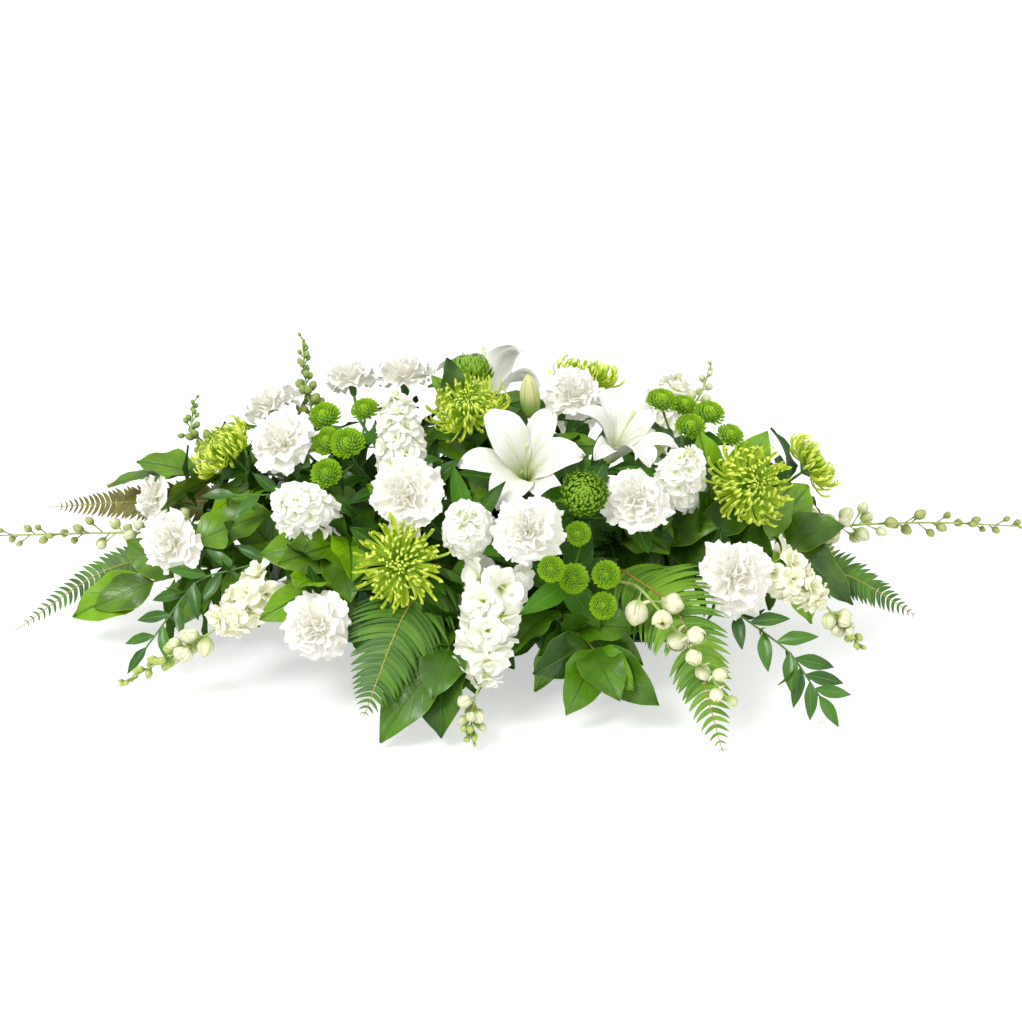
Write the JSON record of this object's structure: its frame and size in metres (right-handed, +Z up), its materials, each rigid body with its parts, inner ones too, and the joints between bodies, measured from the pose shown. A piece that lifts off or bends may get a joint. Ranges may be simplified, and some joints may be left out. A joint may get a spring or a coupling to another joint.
{
  "type": "casket spray",
  "caption": "Casket spray of white and green cut flowers and foliage in wet foam, held by a low plastic saddle.",
  "frame": {"origin": "centre of the saddle's flat underside, on the surface that the spray stands on", "axes": "+X along the spray's long way, to the right as seen from its front; -Y towards the front, which the picture shows; +Z up"},
  "size_m": [1.2042, 0.6682, 0.303],
  "materials": {
    "green_petals": "soft matt florets",
    "white_petals": "soft matt petals",
    "fern_leaflets": "thin leaflets",
    "wet_foam": "fine open foam, matt",
    "pale_buds": "soft buds",
    "slim_leaves": "leathery glossy leaves",
    "saddle_plastic": "moulded, matt",
    "broad_leaves": "leathery glossy leaves",
    "ivory_petals": "soft matt petals",
    "lime_petals": "soft matt rays"
  },
  "bodies": {
    "root": {"button_mums_front": "green_petals", "button_mums_left": "green_petals", "button_mums_right": "green_petals", "carnation_01": "white_petals", "carnation_02": "white_petals", "carnation_03": "white_petals", "carnation_04": "white_petals", "carnation_05": "white_petals", "carnation_06": "white_petals", "carnation_07": "white_petals", "carnation_08": "white_petals", "carnation_09": "white_petals", "carnation_10": "white_petals", "carnation_11": "white_petals", "carnation_12": "white_petals", "carnation_13": "white_petals", "fern_back": "fern_leaflets", "fern_front_left": "fern_leaflets", "fern_front_right": "fern_leaflets", "fern_left_back": "fern_leaflets", "fern_left_front": "fern_leaflets", "fern_right": "fern_leaflets", "foam": "wet_foam", "green_mum_back": "green_petals", "green_mum_front": "green_petals", "larkspur_back_left": "pale_buds", "larkspur_back_right": "pale_buds", "larkspur_far_left": "pale_buds", "larkspur_front": "white_petals", "larkspur_left": "pale_buds", "larkspur_over_fern": "pale_buds", "larkspur_right": "pale_buds", "lily_back": "white_petals", "lily_front": "white_petals", "lily_right": "white_petals", "ruscus_left": "slim_leaves", "ruscus_middle": "slim_leaves", "ruscus_right": "slim_leaves", "saddle": "saddle_plastic", "salal_back": "broad_leaves", "salal_front": "broad_leaves", "salal_front_left": "broad_leaves", "salal_front_right": "broad_leaves", "salal_left": "broad_leaves", "salal_left_back": "broad_leaves", "salal_middle": "broad_leaves", "salal_right": "broad_leaves", "snapdragon_left": "ivory_petals", "snapdragon_right": "ivory_petals", "spider_mum_01": "lime_petals", "spider_mum_02": "lime_petals", "spider_mum_03": "lime_petals", "spider_mum_04": "lime_petals", "spider_mum_05": "lime_petals", "spider_mum_06": "lime_petals", "stock_01": "white_petals", "stock_02": "white_petals", "stock_03": "white_petals", "stock_04": "white_petals", "stock_05": "white_petals"}
  },
  "joints": []
}
